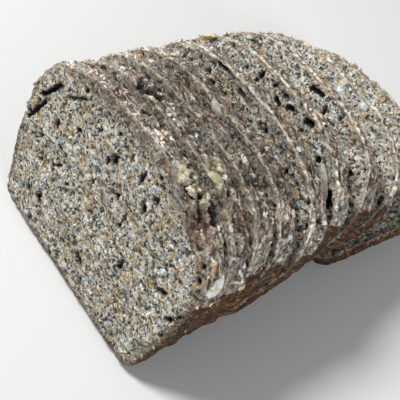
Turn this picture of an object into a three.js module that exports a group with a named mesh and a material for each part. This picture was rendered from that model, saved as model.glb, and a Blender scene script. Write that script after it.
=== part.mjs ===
// A sliced wholegrain tin loaf: ten slices still standing together, each leaning back on the one
// behind it, the lean growing from the front slice to the last one, which lies flat.
//
// Millimetres, +Z up. The loaf runs along +X, the slices' tops fall towards +X, and Y runs across
// the loaf. The origin is under the middle of the loaf's box, on the surface that it rests on.

import * as THREE from 'three';

// --- The tin's cross-section, which every slice shares ---
const baseWidth = 98.2; // across the bottom of the tin
const widestWidth = 112; // across the tin's rim, where the crown starts
const widestHeight = 39.5; // how far up the slice it is at its widest
const loafHeight = 76.5; // bottom crust to the top of the crown
const baseCornerRadius = 8.5; // the tin's rounded bottom corners
const crownSquareness = 0.74; // below 1 the shoulders are fuller than an ellipse's

// --- The cut slices ---
const sliceThickness = 8.7;
const cutEdgeBevel = 0.5; // the crust's edge, rubbed down by the knife
const crownRipple = 0.45; // how unevenly the crown rose

// --- How finely the outline is drawn ---
const cornerSteps = 5;
const wallSteps = 4;
const crownSteps = 20; // each side of the middle

// How the slices stand, front one first. `along` is how far the slice's front edge stands behind
// the front slice's, `lean` is the angle from upright, `turn` is the angle about Z, `shift` moves
// the slice across the loaf, and `size` is its outline against the full cross-section.
const slices = [
  { along: 0.0, lean: 20.5, turn: 0, shift: 0.0, size: 1 },
  { along: 10.5, lean: 20.8, turn: 0, shift: -0.5, size: 0.985 },
  { along: 20.4, lean: 21.3, turn: -0.3, shift: -0.5, size: 0.98 },
  { along: 30.6, lean: 22.3, turn: -1.0, shift: -1.0, size: 0.975 },
  { along: 43.0, lean: 25.5, turn: -3.6, shift: -1.8, size: 0.98 },
  { along: 54.6, lean: 32.0, turn: -5.0, shift: 1.5, size: 0.975 },
  { along: 66.2, lean: 38.7, turn: -5.2, shift: 2.2, size: 0.98 },
  { along: 78.6, lean: 47.8, turn: -5.2, shift: 2.6, size: 0.97 },
  { along: 95.6, lean: 65.3, turn: -2.2, shift: -3.2, size: 0.99 },
  { along: 119.4, lean: 90, turn: -2.2, shift: 4.5, size: 0.975 },
];

const crumb = { roughness: 0.95, metalness: 0 };
const crumbColours = ['#7d6b57', '#776552', '#806e5a'];

const radians = THREE.MathUtils.degToRad;

/** One side of the cross-section, from the bottom corner up to the crown's middle. */
function sideOutline(side, size, seed) {
  const half = (baseWidth * size) / 2;
  const widest = (widestWidth * size) / 2;
  const rimHeight = widestHeight * size;
  const rise = (loafHeight - widestHeight) * size;
  const points = [];

  // The rounded bottom corner.
  for (let i = 0; i <= cornerSteps; i++) {
    const a = (i / cornerSteps) * (Math.PI / 2);
    points.push([
      half - baseCornerRadius * (1 - Math.sin(a)),
      baseCornerRadius * (1 - Math.cos(a)),
    ]);
  }

  // The tin's wall, opening outwards to the rim.
  for (let i = 1; i <= wallSteps; i++) {
    const t = i / wallSteps;
    points.push([
      THREE.MathUtils.lerp(half, widest, t),
      THREE.MathUtils.lerp(baseCornerRadius, rimHeight, t),
    ]);
  }

  // The shoulder and the low crown, a superellipse quarter with a slight ripple.
  for (let i = 1; i <= crownSteps; i++) {
    const a = (i / crownSteps) * (Math.PI / 2);
    const wave = Math.sin(3 * a + seed) + 0.6 * Math.sin(7 * a + 2.1 * seed + side);
    const ripple = crownRipple * wave * Math.sin(2 * a);
    points.push([
      widest * Math.cos(a) ** crownSquareness + ripple * Math.cos(a),
      rimHeight + rise * Math.sin(a) ** crownSquareness + ripple * Math.sin(a),
    ]);
  }
  return points.map(([across, up]) => new THREE.Vector2(side * across, up));
}

/** The slice's closed outline: across the loaf in x, up the slice in y. */
function sliceOutline(size, seed) {
  const right = sideOutline(1, size, seed);
  const left = sideOutline(-1, size, seed + 1.7).reverse();
  return new THREE.Shape([...right, ...left.slice(1)]);
}

/** A slice with its front face in the plane z = 0 and its thickness along +Z. */
function sliceGeometry(size, seed) {
  const geometry = new THREE.ExtrudeGeometry(sliceOutline(size, seed), {
    depth: sliceThickness - 2 * cutEdgeBevel,
    bevelThickness: cutEdgeBevel,
    bevelSize: cutEdgeBevel,
    bevelOffset: -cutEdgeBevel,
    bevelSegments: 1,
  });
  geometry.translate(0, 0, cutEdgeBevel);
  return geometry;
}

/** Stands a slice up: its outline across Y, its top fallen back towards +X by `lean` degrees. */
function standUp(mesh, { along, lean, turn, shift }) {
  const fall = radians(lean);
  const across = new THREE.Vector3(0, 1, 0);
  const up = new THREE.Vector3(Math.sin(fall), 0, Math.cos(fall));
  const back = new THREE.Vector3(Math.cos(fall), 0, -Math.sin(fall));
  const stance = new THREE.Matrix4().makeBasis(across, up, back);
  mesh.quaternion.setFromRotationMatrix(new THREE.Matrix4().makeRotationZ(radians(turn)).multiply(stance));

  // The slice's lowest edge, at the back of its bottom crust, meets the surface.
  mesh.position.set(along, shift, 0);
  mesh.updateMatrixWorld(true);
  mesh.position.z = -new THREE.Box3().setFromObject(mesh, true).min.z;
  mesh.updateMatrixWorld(true);
}

const loaf = new THREE.Group();

slices.forEach((slice, i) => {
  const material = new THREE.MeshStandardMaterial({
    color: crumbColours[i % crumbColours.length],
    ...crumb,
  });
  const mesh = new THREE.Mesh(sliceGeometry(slice.size, 1 + 1.3 * i), material);
  mesh.name = `slice_${String(i + 1).padStart(2, '0')}`;
  standUp(mesh, slice);
  loaf.add(mesh);
});

// The origin goes under the middle of the whole loaf.
const box = new THREE.Box3().setFromObject(loaf, true);
loaf.position.set(-(box.min.x + box.max.x) / 2, -(box.min.y + box.max.y) / 2, 0);

export default loaf;
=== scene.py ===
"""A sliced wholegrain tin loaf: ten leaning slices of dense seeded rye, baked in a flared tin."""

import math

import bmesh
import bpy
import numpy as np
from mathutils import Matrix, Vector
from mathutils import noise as field


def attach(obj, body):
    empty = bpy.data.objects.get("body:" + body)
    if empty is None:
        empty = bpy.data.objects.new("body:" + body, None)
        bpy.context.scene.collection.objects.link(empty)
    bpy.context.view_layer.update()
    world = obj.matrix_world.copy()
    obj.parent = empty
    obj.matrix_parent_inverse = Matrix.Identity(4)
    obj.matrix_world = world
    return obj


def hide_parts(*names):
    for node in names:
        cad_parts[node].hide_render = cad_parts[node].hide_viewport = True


bl_info = {
    "name": "Sliced Tin Loaf",
    "version": (1, 0, 0),
    "blender": (4, 5, 0),
    "location": "3D View > Sidebar > Loaf",
    "description": "Builds a sliced wholegrain tin loaf with seeds, torn crust and open crumb",
    "category": "Add Mesh",
}

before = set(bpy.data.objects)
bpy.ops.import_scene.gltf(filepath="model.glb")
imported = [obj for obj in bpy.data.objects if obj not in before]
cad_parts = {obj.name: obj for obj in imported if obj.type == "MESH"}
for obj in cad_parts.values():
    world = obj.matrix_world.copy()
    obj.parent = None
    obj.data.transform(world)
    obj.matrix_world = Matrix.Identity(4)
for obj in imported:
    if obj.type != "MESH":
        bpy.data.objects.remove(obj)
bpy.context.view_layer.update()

MM = 0.001
SLICES = sorted(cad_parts)

# The kinds of node that the trees below use most.
MATH, RANGE, MIX = "ShaderNodeMath", "ShaderNodeMapRange", "ShaderNodeMix"
VECTOR, NOISE, CELLS = "ShaderNodeVectorMath", "ShaderNodeTexNoise", "ShaderNodeTexVoronoi"
RAMP, SPLIT, JOIN = "ShaderNodeValToRGB", "ShaderNodeSeparateXYZ", "ShaderNodeCombineXYZ"
STORED, ATTRIBUTE = "GeometryNodeInputNamedAttribute", "ShaderNodeAttribute"
# Settings that many of them share: the sums, a range with soft ends and a mix of two colours.
PLUS, MINUS, TIMES = {"operation": "ADD"}, {"operation": "SUBTRACT"}, {"operation": "MULTIPLY"}
EASED = {"interpolation_type": "SMOOTHSTEP"}
COLOURS = {"out": 2, "data_type": "RGBA"}


# ---------------------------------------------------------------- nodes and colours


def linear(code):
    """An sRGB hex colour as the linear RGBA that Blender's sockets take."""
    channels = [int(code[i : i + 2], 16) / 255 for i in (1, 3, 5)]
    return tuple(c / 12.92 if c <= 0.04045 else ((c + 0.055) / 1.055) ** 2.4 for c in channels) + (1.0,)


def add(tree, kind, inputs=None, out=0, stops=(), **settings):
    """Adds a node with its settings, values, links and colour stops, and returns one of its outputs.
    A value that starts with # is an sRGB hex colour."""
    node = tree.nodes.new(kind)
    for name, value in settings.items():
        setattr(node, name, value)
    for name, value in (inputs or {}).items():
        if isinstance(value, bpy.types.NodeSocket):
            tree.links.new(value, node.inputs[name])
        elif isinstance(value, str) and value.startswith("#"):
            node.inputs[name].default_value = linear(value)
        else:
            node.inputs[name].default_value = value
    for i, (place, code) in enumerate(stops):
        points = node.color_ramp.elements
        point = points[i] if i < len(points) else points.new(place)
        point.position, point.color = place, linear(code) if isinstance(code, str) else (*code, 1.0)
    return node if out is None else node.outputs[out]


def sized(place, millimetres, **more):
    """The inputs of a texture whose grain is about as wide as the millimetres say."""
    return {"Vector": place, "Scale": 1 / (millimetres * MM), **more}


# ---------------------------------------------------------------- settings


def size_setting(name, description, millimetres):
    default = millimetres * MM
    return bpy.props.FloatProperty(name=name, description=description, default=default, unit="LENGTH")


def colour_setting(name, description, code):
    default = linear(code)[:3]
    return bpy.props.FloatVectorProperty(
        name=name, description=description, default=default, subtype="COLOR"
    )


class LoafSettings(bpy.types.PropertyGroup):
    """The sizes of the loaf's surface detail and the colours of its crumb and crust."""

    grid: size_setting("Surface grid", "Distance between the points of a slice's surface", 0.52)
    pore: size_setting("Pore spacing", "Distance between the crumb's small holes", 2.1)
    hole: size_setting("Hole spacing", "Distance between the crumb's middle-sized holes", 5.2)
    cavern: size_setting("Cavern spacing", "Distance between the crumb's few large holes", 12.0)
    lump: size_setting("Crumb lump height", "How far the crumb's lumps and grain stand up", 2.6)
    ridge: size_setting("Crust edge height", "How far the knife-torn edge of the crust stands up", 0.5)
    crumb_colour: colour_setting("Crumb colour", "Middle tone of the rye crumb", "#aaa799")
    crown_colour: colour_setting("Crown colour", "Middle tone of the baked crown crust", "#6c533d")
    wall_colour: colour_setting(
        "Tin wall colour", "Middle tone of the crust baked against the tin", "#45280e"
    )


# ---------------------------------------------------------------- what this loaf shows

# How each slice was cut: the radius in millimetres to which its front crust edge is worn above the
# tin's rim, and how clearly a pale line of dragged crust, partly a painted highlight, shows along
# that edge (0 to 1). The first slices are the most handled. Then the radius of that edge below the
# rim and of the back edge.
WORN_EDGE = (3.6, 1.6, 1.6, 1.4, 1.1, 1.0, 1.0, 0.9, 0.9, 0.9)
PALE_EDGE = (0.15, 0.6, 0.75, 0.85, 0.95, 0.95, 0.9, 0.8, 0.7, 0.5)
WALL_EDGE, BACK_EDGE = 0.9, 1.0
# How much painted shade darkens the crown and the crumb under it (0 to 1), and how far above the
# tin's rim the tin-baked crust reaches, in millimetres.
PAINTED_CROWN_SHADE = (0.55, 0.85, 1.0, 1.0, 0.7, 0.35, 0.15, 0.0, 0.0, 0.0)
SEAM_RISE = (5, 6, 8, 8, 9, 13, 15, 14, 10, 8)

# Cracks, slits and holes: the slice, the way along it as (across, up, into the slice), its
# half-width and its depth, all in millimetres. "Across" runs towards the loaf's far side.
GASHES = {
    "crack under the far shoulder": (1, ((51, 37, 0), (48.6, 42, 0), (45, 49, 0)), 0.75, 3.4),
    "crack under the far crown": (1, ((48, 50, 0), (44.5, 54.5, 0), (41, 60, 0)), 0.9, 3.6),
    "fine crack in the first slice": (1, ((28, 32, 0), (23, 36, 0)), 0.6, 1.2),
    "fine crack near the crown": (1, ((33, 60, 0), (26, 65, 0)), 0.6, 1.2),
    "void left of the middle": (1, ((23.5, 53, 0), (22, 54, 0)), 0.6, 2.6),
    "void in the upper middle": (1, ((14, 61, 0), (13, 61.6, 0)), 0.6, 2.4),
    "void near the far crown": (1, ((27.5, 67.6, 0), (26.2, 68.4, 0)), 0.6, 2.6),
    "void near the crown": (1, ((5, 66.5, 0), (4.4, 67.4, 0)), 0.5, 2.4),
    "upright void": (1, ((4.5, 56, 0), (4, 54, 0)), 0.6, 2.6),
    "void near the base": (1, ((17.6, 31.6, 0), (16.6, 32.4, 0)), 0.6, 2.2),
    "near void": (1, ((-13, 65, 0), (-12, 61, 0)), 0.5, 2.0),
    "void by the near crown": (1, ((-19.5, 68.5, 0),), 0.7, 1.8),
    "slit across the crown": (2, ((15.5, 75.4, 1.2), (12.5, 75.6, 3.0), (9.8, 75.7, 4.6)), 2.3, 5.2),
    "round hole in the crust": (1, ((4, 76.5, 6.6),), 1.9, 3.4),
    "gap above the torn shoulder": (1, ((-30, 73.6, 0.6), (-33, 72.6, 3.4)), 1.4, 3.0),
    "gap behind the torn shoulder": (1, ((-36, 71.5, 7.4), (-41, 69, 7.2)), 1.5, 3.6),
    "long hole in the fifth slice": (5, ((21.5, 72.5, 0), (15.5, 73, 0)), 0.7, 2.4),
    "hole in the fifth crust": (5, ((12.5, 74.5, 2.4), (9.5, 74.5, 4)), 0.8, 2.6),
    "hole by the sixth crown": (6, ((12, 66.5, 0),), 0.8, 2.0),
    "hole behind the fourth slice": (5, ((7, 71, 0), (4, 71, 0)), 0.8, 2.2),
    "long hole in the sixth slice": (6, ((-0.5, 67.5, 0), (-3, 67, 0)), 0.9, 2.4),
    "deep hole in the sixth slice": (6, ((-7, 68.5, 0), (-9, 70, 0)), 0.85, 2.6),
    "brown hole at the sixth crust": (6, ((-17, 70.5, 0), (-20, 71.5, 0)), 1.1, 2.8),
    "long hole in the seventh slice": (7, ((-0.5, 70.5, 0), (-6.5, 71.5, 0)), 0.9, 2.8),
    "hole low in the sixth slice": (6, ((-31.5, 64.5, 0),), 1.3, 2.4),
    "hole low in the seventh slice": (7, ((-39, 59.5, 0),), 1.2, 2.4),
    "black hole by the long seed": (6, ((-43.5, 59, 0), (-46, 56.5, 0)), 1.7, 3.4),
}

# Places where crust and crumb are torn away: the slice, the middle as above, the reach round the
# slice and across it, and the depth, in millimetres. The bare place is brown.
SCOOPS = {
    "torn near shoulder": (1, (-41.2, 68.0, 2.2), 8.5, 4.2),
    "torn shoulder of the second slice": (2, (-39.0, 69.0, 1.0), 5.5, 1.6),
    "torn edge of the third slice": (3, (-47.0, 62.0, 0.5), 5.0, 1.8),
    "torn near crown": (1, (-24.0, 75.0, 0.5), 4.5, 1.4),
}

# Places where straw-coloured crumb stands up out of the crust: as above, with the height last.
MOUNDS = {
    "ragged crumb on the near crown": (1, (-25.5, 74.8, 3.6), 6.5, 1.0),
    "ragged crumb over the torn shoulder": (1, (-33.5, 72.4, 5.6), 4.5, 1.0),
    "pale ring of the round hole": (1, (4, 76.5, 6.4), 3.4, 0.6),
    "ragged crumb on the second crown": (2, (-27.0, 73.6, 7.0), 6.0, 0.6),
}

# Seeds, flakes and chips: the finish, the slice, the place as above, the length, width and
# thickness in millimetres, and the angle of its length to the crust's edge in degrees.
SEEDS = {
    "pumpkin seed on the near shoulder": ("pumpkin", 2, (-29.8, 73.0, 1.8), 8.2, 4.8, 2.0, 14),
    "grey pumpkin seed": ("grey pumpkin", 4, (-2.0, 72.4, 0.0), 9.0, 4.2, 2.2, 166),
    "long grey seed": ("grey pumpkin", 6, (-39.6, 61.0, -1.5), 13.5, 4.8, 2.2, 146),
    "oat flake on the far crown": ("oat", 6, (45.5, 62.8, 0.6), 12.0, 3.4, 2.2, 164),
    "small yellow seed": ("oat", 4, (30.5, 72.3, 3.8), 3.2, 2.2, 1.4, 30),
    "big sunflower kernel": ("sunflower", 1, (-54.6, 53.5, 6.2), 9.2, 5.8, 3.4, 148),
    "yellow kernel at the near edge": ("oat", 3, (-54.7, 42.0, 1.6), 5.0, 3.2, 2.0, 20),
    "green seed in the crumb": ("pumpkin", 1, (0.0, 20.0, 0.0), 3.6, 2.4, 1.4, 70),
    "white kernel in the crumb": ("pale kernel", 1, (-38.5, 44.5, -0.2), 3.4, 2.6, 2.0, 10),
    "small white kernel": ("pale kernel", 1, (-46.5, 52.5, 0.0), 2.2, 1.6, 1.4, 40),
    "white kernel in the eighth slice": ("pale kernel", 8, (-1.8, 68.4, 0.25), 8.6, 5.0, 2.6, 172),
    "second white kernel": ("pale kernel", 8, (-14.0, 70.8, 0.25), 5.8, 4.2, 2.4, 2),
    "pale chip below the slit": ("chip", 2, (8.4, 75.6, 0.4), 2.8, 2.0, 1.4, 15),
    "pale chip on the torn shoulder": ("chip", 1, (-35.0, 72.0, 5.6), 3.4, 2.4, 1.8, 60),
    "tan chip under the torn shoulder": ("chip", 1, (-46.5, 63.0, 2.6), 4.2, 2.8, 1.8, 30),
    "ragged chunk on the near crown": ("chip", 1, (-26.5, 74.3, 2.4), 5.0, 3.2, 2.2, 80),
    "second ragged chunk": ("chip", 1, (-31.0, 73.4, 2.0), 4.0, 3.0, 2.0, 20),
}

# A seed that lies less than this far into the slice, in millimetres, lies in its cut face.
ON_FACE = 0.35

# The seeds' finishes: the material's name, its dark, middle and light tone, its roughness, and
# the size of its mottling in millimetres.
SEED_FINISHES = {
    "pumpkin": ("hulled green pumpkin seed", "#857e5c", "#a29a78", "#bdb596", 0.4, 2.0),
    "grey pumpkin": ("grey pumpkin seed", "#67645b", "#88857a", "#a7a498", 0.65, 2.0),
    "oat": ("golden oat flake", "#a38a5c", "#cab78a", "#ebe0c2", 0.5, 1.6),
    # The sunflower kernel's white light tone is partly a painted highlight on its gloss.
    "sunflower": ("sunflower kernel", "#b5ad88", "#e6e3d4", "#ffffff", 0.22, 2.6),
    "pale kernel": ("pale sunflower kernel in the crumb", "#7f837e", "#a6aba5", "#d6dcda", 0.42, 1.4),
    "chip": ("torn dry crumb", "#857860", "#b3a78d", "#e2dbca", 0.7, 0.7),
}

# The finishes of bran flakes and of loose crumb, as above, and how thickly they lie, per square
# metre of the surface that they lie on.
STREWN_FINISHES = (
    ("dry bran flake", "#7d6749", "#b7a482", "#e8dec8", 0.5, 2.5),
    ("loose rye crumb", "#6b5d49", "#9c8f7a", "#cabfa9", 0.75, 0.6),
)
FRAYS_ON_EDGE = 110000.0
FLAKES_ON_CROWN = 9000.0
FLAKES_ON_CRUMB = 2500.0

# How far apart neighbouring slices take their patterns and their seams' waves, in metres, so that
# no two look alike.
PATTERN_SHIFT, SEAM_SHIFT = 0.05, 0.031

# Where the viewer stands, in millimetres, and the direction and lens of the view, in degrees and
# millimetres.
EYE = (-172.0, -124.6, 230.9)
AZIMUTH, ELEVATION, ROLL = -48.34, 49.35, 16.0
FILM_WIDTH, FOCAL_LENGTH = 36.0, 61.2

# The room's even light and the floor. The floor lies just under the loaf's own ground level.
ROOM_COLOUR, ROOM_STRENGTH = "#e4eaf2", 0.36
FLOOR_COLOUR, FLOOR_LEVEL = "#c9c7c3", -0.2

# The lamps: the name, the place and the size in metres, the power in watts and the colour.
LAMPS = (
    ("window", (-0.32, 0.6, 0.92), 0.35, 17.2, "#fbfdff"),
    ("second window", (-0.3, -0.9, 0.5), 0.2, 4.2, "#f4f8ff"),
)


# ---------------------------------------------------------------- reading the frame


class Stance:
    """How a slice stands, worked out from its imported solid."""

    def __init__(self, node):
        faces = {}
        for face in node.data.polygons:
            faces.setdefault(tuple(round(c, 2) for c in face.normal), []).append(face)
        # The two largest faces are the cuts, of which the front one faces -X and up, and the next
        # largest is the base.
        size = {key: sum(face.area for face in group) for key, group in faces.items()}
        largest = sorted(size, key=size.get, reverse=True)
        front = min(largest[:2], key=lambda n: n[0] - n[2])
        self.into = -Vector(faces[front][0].normal)
        self.up = -Vector(faces[largest[2]][0].normal)
        self.across = self.into.cross(self.up).normalized()
        if self.across.y < 0:
            self.across.negate()
        self.axes = np.array([self.across, self.up, self.into])
        places = points_of(node.data) @ self.axes.T
        low = places.min(axis=0)
        base = places[places[:, 1] < low[1] + 0.1 * MM, 0]
        self.corner = np.array([(base.min() + base.max()) / 2, low[1], low[2]])
        places -= self.corner
        self.thickness = places[:, 2].max()
        # The points between the cuts draw the outline, once they are in order round its middle.
        rim = places[np.abs(places[:, 2] - self.thickness / 2) < self.thickness * 0.45][:, :2]
        rim = rim[np.argsort(np.arctan2(rim[:, 1] - rim[:, 1].max() * 0.45, rim[:, 0]))]
        self.outline = rim[np.r_[True, np.linalg.norm(np.diff(rim, axis=0), axis=1) > 0.01 * MM]]
        self.rim_height = self.outline[self.outline[:, 0].argmax(), 1]

    def local(self, points):
        """World points as (across, up, into the slice)."""
        return points @ self.axes.T - self.corner

    def world(self, places):
        """(across, up, into the slice) as world points."""
        return (places + self.corner) @ self.axes

    def rind(self, places):
        """For each place, its distance from the crust, how far round the slice it is, and the
        direction from the crust to the slice's inside there."""
        count = len(places)
        gap, around, inward = np.full(count, 1e9), np.zeros(count), np.zeros((count, 2))
        start = 0.0
        for a, b in zip(self.outline, np.roll(self.outline, -1, axis=0)):
            run = b - a
            length = math.hypot(*run)
            share = np.clip(((places[:, :2] - a) @ run) / max(length**2, 1e-12), 0, 1)
            away = np.hypot(*(places[:, :2] - a - share[:, None] * run).T)
            nearer = away < gap
            gap[nearer] = away[nearer]
            around[nearer] = start + share[nearer] * length
            inward[nearer] = (-run[1] / length, run[0] / length)
            start += length
        return gap, around, inward


def read(items, name, kind=np.float32, width=1):
    """One property of many items, as an array."""
    flat = np.empty(len(items) * width, kind)
    items.foreach_get(name, flat)
    return flat


def points_of(mesh):
    return read(mesh.vertices, "co", width=3).reshape(-1, 3).astype(float)


def smooth(value, low, high):
    """0 at low, 1 at high and smooth between."""
    share = np.clip((value - low) / (high - low), 0, 1)
    return share * share * (3 - 2 * share)


def waves(value, length, seed):
    """A wandering value from -1 to 1 along a line, with swells of the given length."""
    turn = value * 2 * math.pi / length
    swell = np.sin(turn + seed)
    ripple = np.sin(turn * 2.3 + seed * 1.7) * 0.6
    return (swell + ripple + np.sin(turn * 4.1 + seed * 2.9) * 0.4) / 2


# ---------------------------------------------------------------- geometry node trees


def new_tree(name, sockets):
    tree = bpy.data.node_groups.new(name, "GeometryNodeTree")
    tree.interface.new_socket("Geometry", in_out="INPUT", socket_type="NodeSocketGeometry")
    for label, kind, default in sockets:
        socket = tree.interface.new_socket(label, in_out="INPUT", socket_type=kind)
        socket.default_value = default
    tree.interface.new_socket("Geometry", in_out="OUTPUT", socket_type="NodeSocketGeometry")
    return tree, tree.nodes.new("NodeGroupInput"), tree.nodes.new("NodeGroupOutput")


def warped_place(tree, place, scale, reach):
    """The place, shifted about by up to half the reach, so that no outline drawn on it is clean."""
    wander = add(tree, NOISE, {"Vector": place, "Scale": scale, "Detail": 2.0}, out=1)
    wander = add(tree, VECTOR, {0: wander, 1: (0.5, 0.5, 0.5)}, **MINUS)
    wander = add(tree, VECTOR, {0: wander, "Scale": reach}, operation="SCALE")
    return add(tree, VECTOR, {0: place, 1: wander}, **PLUS)


def crumb_hollows(tree, given, warped):
    """How deep the crumb's pores, middle-sized holes and few large caverns are."""
    scale = {}
    for name in ("Pore Spacing", "Hole Spacing", "Cavern Spacing"):
        scale[name] = add(tree, MATH, {0: 1.0, 1: given.outputs[name]}, operation="DIVIDE")
    pores = add(tree, NOISE, {"Vector": warped, "Scale": scale["Pore Spacing"], "Detail": 1.5})
    pores = add(tree, RANGE, {0: pores, 1: 0.45, 2: 0.30, 4: 1.1 * MM}, **EASED)
    holes = add(tree, NOISE, {"Vector": warped, "Scale": scale["Hole Spacing"], "Detail": 2.0})
    holes = add(tree, RANGE, {0: holes, 1: 0.37, 2: 0.25, 4: 2.4 * MM}, **EASED)
    cavern = add(tree, CELLS, {"Vector": warped, "Scale": scale["Cavern Spacing"]}, out=None)
    pick = add(tree, SPLIT, {0: cavern.outputs["Color"]})
    radius = add(tree, RANGE, {0: pick, 1: 0.75, 2: 1.0, 4: 0.16})
    inside = add(tree, MATH, {0: radius, 1: cavern.outputs["Distance"]}, **MINUS)
    caverns = add(tree, RANGE, {0: inside, 2: 0.09, 4: 2.8 * MM}, **EASED)
    total = add(tree, MATH, {0: pores, 1: holes}, **PLUS)
    return add(tree, MATH, {0: total, 1: caverns}, operation="MAXIMUM")


def baked_skin(tree, warped, crust, crown):
    """Where baked skin covers the crumb: in patches on the crown and all over on the tin's wall.
    Returns that and the wall's own share of it."""
    skin = add(tree, NOISE, sized(warped, 6.5, Detail=3.0, Roughness=0.6))
    skin = add(tree, RANGE, {0: skin, 1: 0.44, 2: 0.52}, **EASED)
    wall = add(tree, MATH, {0: 1.0, 1: crown}, **MINUS)
    skin = add(tree, MATH, {0: skin, 1: wall}, operation="MAXIMUM")
    skin = add(tree, MATH, {0: skin, 1: crust}, **TIMES)
    return skin, add(tree, MATH, {0: wall, 1: crust}, **TIMES)


def close_hollows(tree, hollow, skin, corner):
    """Skin closes most of a hollow, and crumb stays sound along the slice's edges."""
    open_share = add(tree, RANGE, {0: skin, 3: 1.0, 4: 0.3})
    hollow = add(tree, MATH, {0: hollow, 1: open_share}, **TIMES)
    sound = add(tree, RANGE, {0: corner, 1: 0.4 * MM, 2: 2.2 * MM, 3: 0.35, 4: 1.0})
    return add(tree, MATH, {0: hollow, 1: sound}, **TIMES)


def ragged_gash(tree, warped, gash):
    """Cracks are ragged: crumb bridges them here and there."""
    ragged = add(tree, NOISE, sized(warped, 1.9, Detail=2.0))
    ragged = add(tree, RANGE, {0: ragged, 1: 0.34, 2: 0.46, 3: 0.5, 4: 1.0})
    return add(tree, MATH, {0: gash, 1: ragged}, **TIMES)


def lumps_and_folds(tree, height, place, warped, skin, wall):
    """Lumps of crumb and grain, with bumps and creases on baked skin and little on the wall."""
    lumps = add(tree, NOISE, sized(warped, 2.6, Detail=4.0, Roughness=0.62))
    lumps = add(tree, MATH, {0: lumps, 1: 0.5}, **MINUS)
    lumps = add(tree, MATH, {0: lumps, 1: height}, **TIMES)
    bumps = add(tree, NOISE, sized(place, 7.0, Detail=3.0))
    bumps = add(tree, RANGE, {0: bumps, 1: 0.3, 2: 0.7, 3: -0.9 * MM, 4: 0.7 * MM}, clamp=False)
    creases = creases_round(tree, add(tree, STORED, {"Name": "wrap"}, data_type="FLOAT_VECTOR"))
    creases = add(tree, RANGE, {0: creases, 2: 0.14, 3: 1.0 * MM, 4: -0.8 * MM}, clamp=False)
    folds = add(tree, MATH, {0: bumps, 1: creases}, **PLUS)
    folds = add(tree, MATH, {0: folds, 1: skin}, **TIMES)
    even = add(tree, RANGE, {0: skin, 3: 1.0, 4: 0.55})
    lumps = add(tree, MATH, {0: lumps, 1: even}, **TIMES)
    rough = add(tree, MATH, {0: lumps, 1: folds}, **PLUS)
    calm = add(tree, RANGE, {0: wall, 3: 1.0, 4: 0.3})
    return add(tree, MATH, {0: rough, 1: calm}, **TIMES)


def knife_ridge(tree, height, place, edge):
    """The knife drags the crust's front edge up into a broken ridge."""
    torn = add(tree, NOISE, sized(place, 1.8, Detail=3.0))
    torn = add(tree, RANGE, {0: torn, 1: 0.4, 2: 0.6, 4: 1.0}, **EASED)
    torn = add(tree, MATH, {0: torn, 1: height}, **TIMES)
    near = add(tree, RANGE, {0: edge, 1: 1.0 * MM, 2: 0.2 * MM}, **EASED)
    return add(tree, MATH, {0: torn, 1: near}, **TIMES)


def relief_tree():
    """Raises and sinks a slice's surface: open crumb on the cut faces, torn crust round them."""
    sizes = {"Pore Spacing": 2.1, "Hole Spacing": 5.2, "Cavern Spacing": 12.0}
    sizes.update({"Lump Height": 2.6, "Crust Edge Height": 0.5})
    sockets = [(name, "NodeSocketFloat", size * MM) for name, size in sizes.items()]
    tree, given, out = new_tree("Rye slice relief", sockets)
    place = add(tree, STORED, {"Name": "place"}, data_type="FLOAT_VECTOR")
    stored = {}
    for name in ("crust", "crown", "gash", "front_edge", "from_edge"):
        stored[name] = add(tree, STORED, {"Name": name}, data_type="FLOAT")
    warped = warped_place(tree, place, 620.0, 1.8 * MM)

    skin, wall = baked_skin(tree, warped, stored["crust"], stored["crown"])
    hollow = crumb_hollows(tree, given, warped)
    hollow = close_hollows(tree, hollow, skin, stored["from_edge"])
    gash = ragged_gash(tree, warped, stored["gash"])
    hollow = add(tree, MATH, {0: hollow, 1: gash}, operation="MAXIMUM")
    rough = lumps_and_folds(tree, given.outputs["Lump Height"], place, warped, skin, wall)
    ridge = knife_ridge(tree, given.outputs["Crust Edge Height"], place, stored["front_edge"])

    lift = add(tree, MATH, {0: rough, 1: hollow}, **MINUS)
    lift = add(tree, MATH, {0: lift, 1: ridge}, **PLUS)
    # One pass of blur takes the grid's own jags off.
    blurred = {0: lift, "Iterations": 1, "Weight": 0.6}
    lift = add(tree, "GeometryNodeBlurAttribute", blurred, data_type="FLOAT")
    normal = add(tree, "GeometryNodeInputNormal")
    move = add(tree, VECTOR, {0: normal, "Scale": lift}, operation="SCALE")
    shape = given.outputs[0]
    for name, value in (("hollow", hollow), ("skin", skin), ("lift", lift)):
        kept = {"Geometry": shape, "Name": name, "Value": value}
        shape = add(tree, "GeometryNodeStoreNamedAttribute", kept, data_type="FLOAT", domain="POINT")
    shape = add(tree, "GeometryNodeSetPosition", {"Geometry": shape, "Offset": move})
    tree.links.new(shape, out.inputs[0])
    return tree


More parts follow.
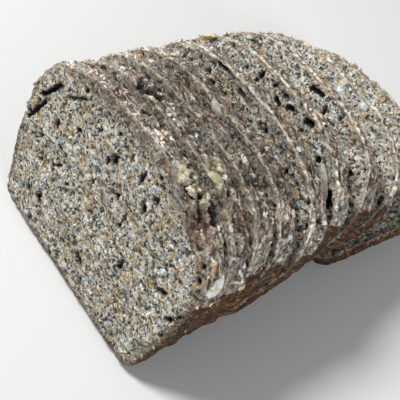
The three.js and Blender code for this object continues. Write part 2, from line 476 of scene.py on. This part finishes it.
def scatter_tree(material):
    """Strews small crinkled bits over the chosen part of a slice and joins them to it."""
    sizes = {"Length": 1.5 * MM, "Width": 0.9 * MM, "Thickness": 0.3 * MM}
    sizes.update({"Bits Per Square Metre": 20000.0, "Tilt": 0.35})
    sockets = [(name, "NodeSocketFloat", value) for name, value in sizes.items()]
    sockets += [("Where", "NodeSocketString", "crust"), ("Seed", "NodeSocketInt", 1)]
    tree, given, out = new_tree("Strewn bits", sockets)
    where = add(tree, STORED, {"Name": given.outputs["Where"]}, data_type="FLOAT")
    chosen = {
        "Mesh": given.outputs[0],
        "Selection": add(tree, MATH, {0: where, 1: 0.6}, operation="GREATER_THAN"),
        "Density": given.outputs["Bits Per Square Metre"],
        "Seed": given.outputs["Seed"],
    }
    points = add(tree, "GeometryNodeDistributePointsOnFaces", chosen, out=None)
    bit = add(tree, "GeometryNodeMeshIcoSphere", {"Radius": 0.5, "Subdivisions": 2})
    crinkle = add(tree, NOISE, {"Scale": 2.3}, out=1)
    crinkle = add(tree, VECTOR, {0: crinkle, 1: (0.5, 0.5, 0.5)}, **MINUS)
    crinkle = add(tree, VECTOR, {0: crinkle, "Scale": 0.9}, operation="SCALE")
    bit = add(tree, "GeometryNodeSetPosition", {"Geometry": bit, "Offset": crinkle})
    size = {i: given.outputs[name] for i, name in enumerate(("Length", "Width", "Thickness"))}
    bit = add(tree, "GeometryNodeTransform", {"Geometry": bit, "Scale": add(tree, JOIN, size)})
    tilt = given.outputs["Tilt"]
    least = add(tree, MATH, {0: tilt, 1: -1.0}, **TIMES)
    low = add(tree, JOIN, {0: least, 1: least, 2: -math.pi})
    high = add(tree, JOIN, {0: tilt, 1: tilt, 2: math.pi})
    spin = {0: low, 1: high, "Seed": given.outputs["Seed"]}
    spin = add(tree, "FunctionNodeRandomValue", spin, data_type="FLOAT_VECTOR")
    turned = {"Rotation": points.outputs["Rotation"], "Rotate By": spin}
    turned = add(tree, "FunctionNodeRotateRotation", turned, rotation_space="LOCAL")
    grown = {2: 0.45, 3: 1.3, "Seed": given.outputs["Seed"]}
    grown = add(tree, "FunctionNodeRandomValue", grown, out=1, data_type="FLOAT")
    placed = {"Points": points.outputs[0], "Instance": bit, "Rotation": turned, "Scale": grown}
    placed = add(tree, "GeometryNodeInstanceOnPoints", placed)
    real = add(tree, "GeometryNodeRealizeInstances", {"Geometry": placed})
    real = add(tree, "GeometryNodeSetMaterial", {"Geometry": real, "Material": material})
    both = add(tree, "GeometryNodeJoinGeometry", out=None)
    tree.links.new(given.outputs[0], both.inputs[0])
    tree.links.new(real, both.inputs[0])
    tree.links.new(both.outputs[0], out.inputs[0])
    return tree


def run_tree(obj, tree, **values):
    """Adds the tree to an object as a modifier, sets its named inputs and turns the result to a mesh."""
    modifier = obj.modifiers.new(tree.name, "NODES")
    modifier.node_group = tree
    for item in tree.interface.items_tree:
        key = item.name.replace(" ", "_").lower()
        if item.item_type == "SOCKET" and item.in_out == "INPUT" and key in values:
            modifier[item.identifier] = values[key]
    settle(obj)


def settle(obj):
    """Replaces an object's mesh by its evaluated mesh and drops its modifiers."""
    bpy.context.view_layer.update()
    graph = bpy.context.evaluated_depsgraph_get()
    result = obj.evaluated_get(graph)
    mesh = bpy.data.meshes.new_from_object(result, preserve_all_data_layers=True, depsgraph=graph)
    obj.modifiers.clear()
    old, obj.data = obj.data, mesh
    bpy.data.meshes.remove(old)


# ---------------------------------------------------------------- finishes


def start_material(name):
    material = bpy.data.materials.new(name)
    material.use_nodes = True
    material.node_tree.nodes.clear()
    return material, material.node_tree


def end_material(tree, colour, roughness, height, distance, **fixed):
    """Puts the shader at the end of a material, with a bump of the height given in metres."""
    bump = add(tree, "ShaderNodeBump", {"Height": height, "Distance": distance, "Strength": 1.0})
    inputs = {"Base Color": colour, "Roughness": roughness, "Normal": bump, **fixed}
    shader = add(tree, "ShaderNodeBsdfPrincipled", inputs)
    add(tree, "ShaderNodeOutputMaterial", {"Surface": shader}, out=None)


def drift_hue(tree, place, colour, size_mm, cool, warm):
    """Lets a colour drift between a cool and a warm tint, in patches of the given size."""
    hue = add(tree, NOISE, sized(place, size_mm, Detail=3.0, Roughness=0.65))
    tint = add(tree, RAMP, {0: hue}, stops=((0.41, cool), (0.49, "#ffffff"), (0.59, warm)))
    return add(tree, MIX, {0: 1.0, 6: colour, 7: tint}, **COLOURS, blend_type="MULTIPLY")


def tint(tree, colour, rows):
    """Lays other colours over a colour, one row after the other: the value that says where, the
    value at which none shows, the value at which most shows, how much that is, and the colour."""
    for value, none, most, share, code in rows:
        share = add(tree, RANGE, {0: value, 1: none, 2: most, 4: share}, **EASED)
        colour = add(tree, MIX, {0: share, 6: colour, 7: code}, **COLOURS)
    return colour


def creases_round(tree, wrap):
    """0 along the creases that run round a slice, and more beside them."""
    crease = add(tree, NOISE, sized(wrap, 2.2, Detail=3.0, Roughness=0.6))
    crease = add(tree, MATH, {0: crease, 1: 0.5}, **MINUS)
    return add(tree, MATH, {0: crease}, operation="ABSOLUTE")


def crumb_pattern(tree, middle):
    """The crumb's colour and fine height: a grey-beige starch web with pale flecks, tan and brown
    grain, and pores filled with nearly black painted shade. The web's fibres and the finest pores are
    drawn a little coarser than the real ones, about 0.6 mm, so that they show. Returns the two places
    that they follow as well."""
    place = add(tree, ATTRIBUTE, out="Vector", attribute_name="place")
    loose = warped_place(tree, place, 1100.0, 1.3 * MM)
    web = add(tree, NOISE, sized(loose, 0.8, Detail=3.0, Roughness=0.75))
    stops = (0.34, "#28251f"), (0.44, "#7d796c"), (0.51, middle), (0.57, "#c9c6ba"), (0.64, "#faf9f1")
    colour = add(tree, RAMP, {0: web}, stops=stops)
    colour = drift_hue(tree, place, colour, 3.4, "#e2eaf5", "#ffeccf")
    kernel = add(tree, CELLS, sized(loose, 2.3), out="Color")
    kernel = add(tree, SPLIT, {0: kernel}, out=None)
    drift = add(tree, NOISE, sized(place, 11.0, Detail=3.0))
    rows = (
        # Cracked rye kernels of 2 to 3 mm: some toasted brown, some pale, and few a stronger tan.
        (kernel.outputs[0], 0.7, 0.86, 0.45, "#947850"),
        (kernel.outputs[0], 0.18, 0.06, 0.5, "#dedacd"),
        (kernel.outputs[1], 0.9, 0.96, 0.4, "#9c7b50"),
        # Broad drifts of darker, browner crumb.
        (drift, 0.42, 0.7, 0.36, "#77725f"),
    )
    colour = tint(tree, colour, rows)
    # Painted shade: the finest pores are painted nearly black.
    pores = add(tree, NOISE, sized(loose, 1.2, Detail=1.0))
    pores = add(tree, RANGE, {0: pores, 1: 0.42, 2: 0.37, 4: 0.95}, **EASED)
    colour = add(tree, MIX, {0: pores, 6: colour, 7: "#1c1610"}, **COLOURS)
    height = add(tree, MATH, {0: web, 1: pores}, **MINUS)
    return place, loose, colour, height


def paint_shade_in_hollows(tree, place, colour, code, share):
    """Painted shade: low places take the given colour by the given share, deep hollows and cracks go
    nearly black, and the crown of the first slices is shaded darker than the rest."""
    mark = {}
    for name in ("dusk", "lift", "hollow", "gash"):
        mark[name] = add(tree, ATTRIBUTE, out="Fac", attribute_name=name)
    # Painted shade on the crowns of the first slices: their colour is multiplied by a grey.
    crown_shade_mix = {0: mark["dusk"], 6: colour, 7: "#b9b5b1"}
    colour = add(tree, MIX, crown_shade_mix, **COLOURS, blend_type="MULTIPLY")
    fray = add(tree, NOISE, sized(place, 1.1, Detail=2.0))
    fray = add(tree, RANGE, {0: fray, 1: 0.35, 2: 0.65, 3: 1.6, 4: 0.5})
    gash = add(tree, MATH, {0: mark["gash"], 1: fray}, **TIMES)
    # Painted shade: darker in low places, nearly black in deep hollows, and brown then nearly black in
    # cracks.
    rows = (
        (mark["lift"], 0.0, -0.7 * MM, share, code),
        (mark["hollow"], 0.5 * MM, 1.8 * MM, 0.92, "#17110c"),
        (gash, 0.05 * MM, 0.3 * MM, 0.7, "#4b3422"),
        (gash, 0.3 * MM, 0.7 * MM, 0.97, "#0d0a07"),
    )
    return tint(tree, colour, rows)


def pale_edge(tree, place, colour, code, share=0.75):
    """A tan rind round the cut face, and on it a thin broken line of pale dragged crust, partly a
    painted highlight.
    """
    rind = add(tree, ATTRIBUTE, out="Fac", attribute_name="rind")
    wrap = add(tree, ATTRIBUTE, out="Vector", attribute_name="wrap")
    streaks = add(tree, NOISE, sized(wrap, 0.8, Detail=3.0, Roughness=0.65))
    stops = (0.36, "#40352a"), (0.47, "#8b7c68"), (0.55, "#ad9f89"), (0.64, "#eee6d6")
    tan = add(tree, RAMP, {0: streaks}, stops=stops)
    rind = add(tree, MATH, {0: rind, 1: share}, **TIMES)
    colour = add(tree, MIX, {0: rind, 6: colour, 7: tan}, **COLOURS)
    # Pale dragged crust along the edge, partly a painted highlight.
    line = add(tree, ATTRIBUTE, out="Fac", attribute_name="pale_line")
    breaks = add(tree, NOISE, sized(place, 2.2, Detail=4.0, Roughness=0.7))
    breaks = add(tree, RANGE, {0: breaks, 1: 0.45, 2: 0.53}, **EASED)
    line = add(tree, MATH, {0: line, 1: breaks}, **TIMES)
    return add(tree, MIX, {0: line, 6: colour, 7: linear(code)}, **COLOURS)


def bare_places(tree, loose, colour):
    """Where crust is torn away, its dense brown underside shows, and straw-coloured crumb stands up
    beside it."""
    bare = add(tree, ATTRIBUTE, out="Fac", attribute_name="bare")
    bare = add(tree, MATH, {0: bare, 1: 0.85}, **TIMES)
    tone = add(tree, NOISE, sized(loose, 1.8, Detail=4.0, Roughness=0.75))
    brown = add(tree, RAMP, {0: tone}, stops=((0.36, "#21160e"), (0.5, "#664c38"), (0.63, "#a88c6e")))
    colour = add(tree, MIX, {0: bare, 6: colour, 7: brown}, **COLOURS)
    fresh = add(tree, ATTRIBUTE, out="Fac", attribute_name="fresh")
    patchy = add(tree, RANGE, {0: tone, 1: 0.4, 2: 0.5, 4: 0.85}, **EASED)
    fresh = add(tree, MATH, {0: fresh, 1: patchy}, **TIMES)
    straw = add(tree, RAMP, {0: tone}, stops=((0.4, "#86704f"), (0.52, "#cdbb95"), (0.64, "#f7efd9")))
    return add(tree, MIX, {0: fresh, 6: colour, 7: straw}, **COLOURS)


def end_bread(tree, places, colour, height, low, shine, refraction):
    """What crumb and crown crust end with: pale edges, partly a painted highlight, torn places,
    painted shade in the hollows and a patchy shine. Low is the colour of the painted shade in low
    places and its share, and shine is the size of its patches in millimetres and their roughest and
    smoothest surface."""
    place, loose = places
    size_mm, rough, glossy = shine
    colour = pale_edge(tree, place, colour, "#efe7d9")
    colour = bare_places(tree, loose, colour)
    colour = paint_shade_in_hollows(tree, place, colour, *low)
    patch = add(tree, NOISE, sized(place, size_mm))
    patch = add(tree, RANGE, {0: patch, 1: 0.35, 2: 0.65, 3: rough, 4: glossy})
    end_material(tree, colour, patch, height, 0.45 * MM, IOR=refraction)


def skin_colour(tree, loose, middle):
    """Baked crown skin, mottled about its middle brown; the painted shade in its folds is laid on
    later, with that of the other low places.
    """
    patch = add(tree, NOISE, sized(loose, 2.8, Detail=4.0, Roughness=0.75))
    stops = (0.34, "#110a06"), (0.42, "#38271a"), (0.5, middle), (0.57, "#9f8567"), (0.65, "#f1e7d6")
    return drift_hue(tree, loose, add(tree, RAMP, {0: patch}, stops=stops), 6.0, "#c6d3ea", "#f3ca95")


def rye_crumb(s):
    """Baked rye crumb: grey-beige, moist enough for small glints, browner towards the crown."""
    material, tree = start_material("rye crumb with cracked grain")
    place, loose, colour, height = crumb_pattern(tree, s.crumb_colour)
    stain = add(tree, ATTRIBUTE, out="Fac", attribute_name="stain")
    edge = add(tree, NOISE, sized(loose, 4.0, Detail=3.0))
    edge = add(tree, RANGE, {0: edge, 1: 0.3, 2: 0.7, 3: -0.5, 4: 0.5})
    stain = add(tree, MATH, {0: stain, 1: edge}, **PLUS)
    brown = skin_colour(tree, loose, s.crown_colour)
    colour = tint(tree, colour, ((stain, 0.35, 1.0, 0.65, brown),))
    # The crumb browns where it lay close to the tin; the brown band also stands for painted shade along
    # those edges.
    toast = add(tree, ATTRIBUTE, out="Fac", attribute_name="toast")
    toast = add(tree, MATH, {0: toast, 1: 0.75}, **TIMES)
    colour = add(tree, MIX, {0: toast, 6: colour, 7: "#472f18"}, **COLOURS)
    # The crumb's low colour and share are for painted shade in its low places.
    end_bread(tree, (place, loose), colour, height, ("#3d342b", 0.5), (1.4, 0.8, 0.42), 1.42)
    return material


def crown_crust(s):
    """Baked crown crust: rough brown skin over grey crumb that shows where the skin is torn, with
    pale bran flecks; waxy enough to shine along its folds, whose tops also carry a painted highlight."""
    material, tree = start_material("baked crown crust")
    place, loose, crumb, height = crumb_pattern(tree, s.crumb_colour)
    skin = add(tree, ATTRIBUTE, out="Fac", attribute_name="skin")
    skin = add(tree, RANGE, {0: skin, 3: 0.18, 4: 0.96})
    brown = skin_colour(tree, loose, s.crown_colour)
    # Thin creases run round the slice; a painted highlight makes them paler along their tops.
    wrap = add(tree, ATTRIBUTE, out="Vector", attribute_name="wrap")
    brown = tint(tree, brown, ((creases_round(tree, wrap), 0.026, 0.008, 0.75, "#d3c8b8"),))
    colour = add(tree, MIX, {0: skin, 6: crumb, 7: brown}, **COLOURS)
    fleck = add(tree, CELLS, sized(loose, 1.3), out="Color")
    fleck = add(tree, RANGE, {0: add(tree, SPLIT, {0: fleck}, out=1), 1: 0.89, 2: 0.93, 4: 0.85})
    colour = add(tree, MIX, {0: fleck, 6: colour, 7: "#faf4e8"}, **COLOURS)
    grooves = add(tree, NOISE, sized(wrap, 1.0, Detail=3.0, Roughness=0.65))
    height = add(tree, MIX, {0: skin, 2: height, 3: grooves})
    # The crown's low colour and share are for painted shade in its low places.
    end_bread(tree, (place, loose), colour, height, ("#2b211a", 0.75), (2.0, 0.55, 0.16), 1.48)
    return material


def tin_wall_crust(middle):
    """Crust baked against the oiled tin: orange-brown to nearly black, faintly glossy, and streaked
    along the loaf."""
    material, tree = start_material("crust baked against the tin")
    place = add(tree, ATTRIBUTE, out="Vector", attribute_name="place")
    drawn = add(tree, VECTOR, {0: place, 1: (1.0, 1.0, 0.18)}, **TIMES)
    streak = add(tree, NOISE, sized(drawn, 1.3, Detail=3.0, Roughness=0.6))
    stops = (0.3, "#100702"), (0.43, "#2a1607"), (0.53, middle), (0.64, "#6b431b"), (0.78, "#aa8047")
    colour = add(tree, RAMP, {0: streak}, stops=stops)
    fleck = add(tree, CELLS, sized(place, 1.1), out="Color")
    fleck = add(tree, RANGE, {0: add(tree, SPLIT, {0: fleck}), 1: 0.9, 2: 0.96, 4: 0.4})
    colour = add(tree, MIX, {0: fleck, 6: colour, 7: "#b29367"}, **COLOURS)
    colour = pale_edge(tree, place, colour, "#a98658", 0.25)
    # Painted shade for the tin wall's low places, hollows and cracks.
    colour = paint_shade_in_hollows(tree, place, colour, "#150a04", 0.6)
    end_material(tree, colour, 0.62, streak, 0.3 * MM, IOR=1.36)
    return material


def dry_bit(name, dark, middle, light, roughness, grain_mm):
    """A seed, flake or chip: its own three tones, mottled at the grain given in millimetres."""
    material, tree = start_material(name)
    place = add(tree, "ShaderNodeTexCoord", out="Object")
    grain = add(tree, NOISE, sized(place, grain_mm, Detail=3.0))
    colour = add(tree, RAMP, {0: grain}, stops=((0.3, dark), (0.5, middle), (0.7, light)))
    end_material(tree, colour, roughness, grain, 0.12 * MM, IOR=1.47)
    return material


# ---------------------------------------------------------------- the slices


def new_object(name, data):
    obj = bpy.data.objects.new(name, data)
    bpy.context.scene.collection.objects.link(obj)
    return obj


def slice_body(node, stance, number, grid):
    """A slice's closed skin on an even grid, worn at its edges, with its places on its points."""
    mesh = node.data.copy()
    work = bmesh.new()
    work.from_mesh(mesh)
    bmesh.ops.remove_doubles(work, verts=work.verts, dist=1e-6)
    work.to_mesh(mesh)
    work.free()
    obj = new_object(f"bread_{number:02d}", mesh)
    remesh = obj.modifiers.new("Even grid", "REMESH")
    remesh.mode, remesh.voxel_size, remesh.use_smooth_shade = "VOXEL", grid, True
    settle(obj)
    local = stance.local(points_of(obj.data))
    rind = stance.rind(local)
    store_places(obj.data, stance, number, local, rind)
    local = wear_edges(local, stance, number, rind)
    obj.data.vertices.foreach_set("co", stance.world(local).astype(np.float32).ravel())
    obj.data.update()
    return obj


def own(table, number):
    """The rows of a table that belong to a slice, without the slice's number."""
    return [row[1:] for row in table.values() if row[0] == number]


def wear_edges(local, stance, number, rind):
    """Rounds the front and back edges of the crust to a radius that wanders round the slice."""
    gap, around, inward = rind
    above_tin = smooth(local[:, 1], stance.rim_height - 12 * MM, stance.rim_height)
    worn = (WALL_EDGE + (WORN_EDGE[number - 1] - WALL_EDGE) * above_tin) * MM
    worn = worn * (1 + 0.45 * waves(around, 23 * MM, number))
    moved = local.copy()
    for depth, turn, radius in (
        (local[:, 2], 1, worn),
        (stance.thickness - local[:, 2], -1, np.full(len(local), BACK_EDGE * MM)),
    ):
        a, b = np.clip(radius - depth, 0, None), np.clip(radius - gap, 0, None)
        reach = np.hypot(a, b)
        shrink = np.where((a > 0) & (b > 0) & (reach > radius), radius / np.maximum(reach, 1e-9), 1.0)
        moved[:, 2] += turn * a * (1 - shrink)
        moved[:, :2] += inward * (b * (1 - shrink))[:, None]
    for middle, reach, deepest in own(SCOOPS, number):
        way = np.append(stance.rind(np.array([middle]) * MM)[2][0] * 0.85, 0.4)
        moved += way * (deepest * MM * smooth(scoop_distance(local, middle, reach), 1, 0.1))[:, None]
    for middle, reach, height in own(MOUNDS, number):
        rise = height * MM * smooth(scoop_distance(local, middle, reach), 1, 0.4)
        moved[:, :2] -= inward * rise[:, None]
    return moved


def scoop_distance(local, middle, reach):
    """0 in the middle of a scoop and 1 at its uneven rim; a scoop is narrower into the slice than
    round it."""
    away = (local - np.array(middle) * MM) / (reach * MM)
    away[:, 2] *= 1.7
    return np.linalg.norm(away, axis=1) * (1 + 0.2 * waves(local[:, 0] - local[:, 1], 5 * MM, reach))


def store(mesh, name, values, kind="FLOAT"):
    layer = mesh.attributes.new(name, kind, "POINT")
    field_name = "vector" if kind == "FLOAT_VECTOR" else "value"
    layer.data.foreach_set(field_name, np.asarray(values, np.float32).ravel())


def gash_depth(local, number):
    """How deep the slice's own cracks and holes cut at each place."""
    depth = np.zeros(len(local))
    for path, half_width, deepest in own(GASHES, number):
        stops = np.array(path, float) * MM
        away = np.full(len(local), 1e9)
        for a, b in zip(stops, stops[1:] if len(stops) > 1 else stops):
            run = b - a
            share = np.clip(((local - a) @ run) / max(run @ run, 1e-12), 0, 1)
            away = np.minimum(away, np.linalg.norm(local - a - share[:, None] * run, axis=1))
        wobble = waves(local[:, 0] + local[:, 2], 3.1 * MM, deepest)
        wobble = wobble + waves(local[:, 1], 2.3 * MM, half_width)
        reach = half_width * MM * (1.0 + 0.4 * wobble)
        depth = np.maximum(depth, deepest * MM * smooth(away, reach * 1.15, reach * 0.45))
    return depth


def torn_share(local, places, full, rim, middle):
    """How much of each point the scoops or mounds take, from 0 at the rim to 1 in the middle, and
    less for those that are smaller than full, in millimetres."""
    share = np.zeros(len(local))
    for centre, reach, height in places:
        nearness = smooth(scoop_distance(local, centre, reach), rim, middle)
        share = np.maximum(share, min(1, height / full) * nearness)
    return share


def store_places(mesh, stance, number, local, rind):
    """Stores where each point is: on the cut or the crust, the crown or the tin's wall, and how
    far from the edges."""
    gap, around, _ = rind
    front, back = local[:, 2], stance.thickness - local[:, 2]
    cut = np.clip(np.minimum(front, back), 0, None)
    crust = smooth(cut - gap, -0.2 * MM, 0.2 * MM)
    seam = stance.rim_height + SEAM_RISE[number - 1] * MM
    seam = seam + 2.5 * MM * waves(around + SEAM_SHIFT * number, 19 * MM, number)
    crown = smooth(local[:, 1], seam - 6 * MM, seam + 7 * MM)
    edge, back_edge = np.hypot(front, gap), np.hypot(back, gap)
    gash = gash_depth(local, number)
    clear = smooth(gash, 0.6 * MM, 0.1 * MM)
    worn = WORN_EDGE[number - 1] * MM
    # The edge is pale round the crown, with dragged crust and a painted highlight, and fades down the
    # tin's wall.
    pale = PALE_EDGE[number - 1] * (0.2 + 0.8 * crown)
    width = (0.8 + 0.35 * waves(around, 11 * MM, number)) * MM
    back_line = 0.6 * smooth(back_edge, 0.9 * MM, 0.3 * MM)
    # Painted shade darkens the crown's middle most; its near and far shoulders are left paler.
    baked = smooth(gap, 15 * MM, 3 * MM)
    baked = baked * smooth(local[:, 1], stance.rim_height, stance.rim_height + 20 * MM)
    baked = baked * smooth(local[:, 0], 45 * MM, 15 * MM) * smooth(local[:, 0], -48 * MM, -34 * MM)
    marks = {
        "crust": crust,
        "crown": crown,
        "crown_crust": crust * crown * clear,
        "crumb": (1 - crust) * clear,
        "front_edge": edge,
        "from_edge": np.minimum(edge, back_edge),
        "pale_line": pale * np.maximum(smooth(edge, width, width * 0.4), back_line),
        "rind": pale * smooth(gap, 2.4 * MM, 0.9 * MM) * smooth(front, 2 * MM, 1 * MM),
        "frayed": smooth(edge, 1.8 * MM, 1.0 * MM) * clear * (local[:, 1] > 2 * MM),
        # Painted shade on the crown.
        "dusk": PAINTED_CROWN_SHADE[number - 1] * baked,
        # Real browning by the tin, partly painted shade.
        "toast": (1 - crown) * smooth(gap, 4.0 * MM, 0.5 * MM),
        "stain": crown * smooth(gap, worn * 2.2 + 1 * MM, 0.2 * MM),
        "fresh": torn_share(local, own(MOUNDS, number), 0.5, 1.05, 0.6),
        "bare": torn_share(local, own(SCOOPS, number), 3.0, 1.0, 0.65),
        "gash": gash,
    }
    for name, values in marks.items():
        store(mesh, name, values)
    # Where each point is for the patterns, in the slice and along the wrap of its crust: round the
    # slice with long creases, into it and out from it. Every slice has its own part of them.
    shift = PATTERN_SHIFT * number
    store(mesh, "place", local + np.array([0.0, 0.0, shift]), "FLOAT_VECTOR")
    wrap = np.stack([around * 0.2, local[:, 2] + shift, gap], axis=1)
    store(mesh, "wrap", wrap, "FLOAT_VECTOR")


def paint(mesh, finishes):
    """Gives each face of a slice its finish: crumb, crown crust or tin-wall crust."""
    crust = read(mesh.attributes["crust"].data, "value")
    crown = read(mesh.attributes["crown"].data, "value")
    first = read(mesh.loops, "vertex_index", np.int32)[read(mesh.polygons, "loop_start", np.int32)]
    index = np.where(crust[first] < 0.5, 0, np.where(crown[first] > 0.5, 1, 2))
    mesh.materials.clear()
    for finish in finishes:
        mesh.materials.append(finish)
    mesh.polygons.foreach_set("material_index", index.astype(np.int32))


def seed_body(name, stance, place, size, angle, finish, ragged):
    """A seed that lies in a slice's surface: plump, pointed at one end and slightly bent. Ragged
    is how much its outline breaks up, 0 for a whole seed."""
    length, width, thickness = (s * MM for s in size)
    local = np.array([place], float) * MM
    gap, _, inward = stance.rind(local)
    on_face = local[0, 2] < min(gap[0], ON_FACE * MM)
    out = -stance.into if on_face else -(stance.across * inward[0, 0] + stance.up * inward[0, 1])
    along = (stance.across if on_face else stance.into.cross(out)).normalized()
    long_way = Matrix.Rotation(math.radians(angle), 3, out) @ along
    centre = Vector(stance.world(local)[0]) - out * thickness * (0.05 - 0.1 * ragged)
    work = bmesh.new()
    bmesh.ops.create_uvsphere(work, u_segments=24, v_segments=16, radius=0.5)
    for point in work.verts:
        x, y, z = point.co
        taper = 1 - 0.35 * (z + 0.5) ** 2
        wrinkle = 1 + (0.16 + ragged) * field.noise(Vector((x, y, z)) * (3.0 + 4 * ragged) + centre * 900)
        point.co = (x * width * taper * wrinkle, y * thickness * taper * wrinkle, z * length * wrinkle)
        point.co.y -= thickness * 0.25 * (z * 2) ** 2
    turn = Matrix((out.cross(long_way).normalized(), out, long_way)).transposed().to_4x4()
    work.transform(Matrix.Translation(centre) @ turn)
    bmesh.ops.recalc_face_normals(work, faces=work.faces)
    mesh = bpy.data.meshes.new(name)
    work.to_mesh(mesh)
    work.free()
    mesh.materials.append(finish)
    return new_object(name, mesh)


def join(obj, others):
    """Makes the others part of the object."""
    if others:
        chosen = [obj, *others]
        with bpy.context.temp_override(active_object=obj, selected_editable_objects=chosen):
            bpy.ops.object.join()


def strew_bits(obj, number, frays, flakes):
    """Strews loose crumb along a slice's cut edges and bran flakes over its crown and crumb."""
    crumb = {"length": 1.3 * MM, "width": 0.9 * MM, "thickness": 0.7 * MM, "tilt": 1.2}
    run_tree(obj, frays, where="frayed", bits_per_square_metre=FRAYS_ON_EDGE, seed=number, **crumb)
    bran = {"length": 1.3 * MM, "width": 0.7 * MM, "thickness": 0.3 * MM, "tilt": 0.5}
    for where, share, seed in (("crown_crust", FLAKES_ON_CROWN, 20), ("crumb", FLAKES_ON_CRUMB, 40)):
        run_tree(obj, flakes, where=where, bits_per_square_metre=share, seed=number + seed, **bran)


def seeds_of(number, stance, finishes):
    """The seeds, kernels and chips that a slice holds."""
    seeds = []
    for label, (kind, owner, place, *size, angle) in SEEDS.items():
        if owner == number:
            ragged = 0.6 if kind == "chip" else 0.0
            seeds.append(seed_body(label, stance, place, size, angle, finishes[kind], ragged))
    return seeds


class LOAF_OT_slices(bpy.types.Operator):
    """Builds the ten slices, with their crumb, crust, seeds and flakes"""

    bl_idname = "loaf.slices"
    bl_label = "Bread slices"

    def execute(self, context):
        s = context.scene.loaf
        finishes = [rye_crumb(s), crown_crust(s), tin_wall_crust(s.wall_colour)]
        seed_finishes = {kind: dry_bit(*look) for kind, look in SEED_FINISHES.items()}
        relief = relief_tree()
        flakes, frays = (scatter_tree(dry_bit(*look)) for look in STREWN_FINISHES)
        for number, name in enumerate(SLICES, 1):
            stance = Stance(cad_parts[name])
            obj = slice_body(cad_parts[name], stance, number, s.grid)
            paint(obj.data, finishes)
            spacing = {"pore_spacing": s.pore, "hole_spacing": s.hole, "cavern_spacing": s.cavern}
            ridge = s.ridge * PALE_EDGE[number - 1]
            run_tree(obj, relief, lump_height=s.lump, crust_edge_height=ridge, **spacing)
            strew_bits(obj, number, frays, flakes)
            join(obj, seeds_of(number, stance, seed_finishes))
            obj.data.shade_smooth()
            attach(obj, "root")
            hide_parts(name)
        return {"FINISHED"}


# ---------------------------------------------------------------- the stage


class LOAF_OT_stage(bpy.types.Operator):
    """Sets the pale floor, the soft light and the camera"""

    bl_idname = "loaf.stage"
    bl_label = "Floor, light and camera"

    def execute(self, context):
        bpy.ops.mesh.primitive_plane_add(size=6.0, location=(0, 0, FLOOR_LEVEL * MM))
        floor = context.object
        floor.name = "floor"
        material, tree = start_material("pale floor")
        place = add(tree, "ShaderNodeTexCoord", out="Object")
        grain = add(tree, NOISE, {"Vector": place, "Scale": 25.0})
        end_material(tree, FLOOR_COLOUR, 0.9, grain, 0.05 * MM)
        floor.data.materials.append(material)

        world = bpy.data.worlds.new("soft room")
        world.use_nodes = True
        sky = world.node_tree.nodes["Background"]
        sky.inputs[0].default_value = linear(ROOM_COLOUR)
        sky.inputs[1].default_value = ROOM_STRENGTH
        context.scene.world = world
        for settings in LAMPS:
            self.lamp(*settings)

        lens = bpy.data.cameras.new("camera")
        lens.sensor_width, lens.lens = FILM_WIDTH, FOCAL_LENGTH
        lens.clip_start = 0.01
        camera = new_object("camera", lens)
        azimuth, elevation, roll = (math.radians(angle) for angle in (AZIMUTH, ELEVATION, ROLL))
        level = math.cos(elevation)
        back = Vector((math.sin(azimuth) * level, -math.cos(azimuth) * level, math.sin(elevation)))
        turn = back.to_track_quat("Z", "Y").to_matrix().to_4x4() @ Matrix.Rotation(roll, 4, "Z")
        camera.matrix_world = Matrix.Translation(Vector(EYE) * MM) @ turn
        context.scene.camera = camera
        context.scene.view_settings.view_transform = "Standard"
        return {"FINISHED"}

    def lamp(self, name, place, size, power, code):
        light = bpy.data.lights.new(name, "AREA")
        light.shape, light.size, light.energy = "DISK", size, power
        light.color = linear(code)[:3]
        lamp = new_object(name, light)
        lamp.location = place
        lamp.rotation_euler = (Vector((0, 0, 0.03)) - Vector(place)).to_track_quat("-Z", "Y").to_euler()


# ---------------------------------------------------------------- panel and running


class LOAF_PT_panel(bpy.types.Panel):
    """Lists the loaf's sizes and its builders"""

    bl_idname = "LOAF_PT_panel"
    bl_label = "Sliced tin loaf"
    bl_space_type = "VIEW_3D"
    bl_region_type = "UI"
    bl_category = "Loaf"

    def draw(self, context):
        layout = self.layout
        for name in LoafSettings.__annotations__:
            layout.prop(context.scene.loaf, name)
        for operator in (LOAF_OT_slices, LOAF_OT_stage):
            layout.operator(operator.bl_idname)


CLASSES = (LoafSettings, LOAF_OT_slices, LOAF_OT_stage, LOAF_PT_panel)


def register():
    for item in CLASSES:
        bpy.utils.register_class(item)
    bpy.types.Scene.loaf = bpy.props.PointerProperty(type=LoafSettings)


def unregister():
    del bpy.types.Scene.loaf
    for item in reversed(CLASSES):
        bpy.utils.unregister_class(item)


def main():
    register()
    bpy.ops.loaf.slices()
    bpy.ops.loaf.stage()


if __name__ == "__main__":
    main()
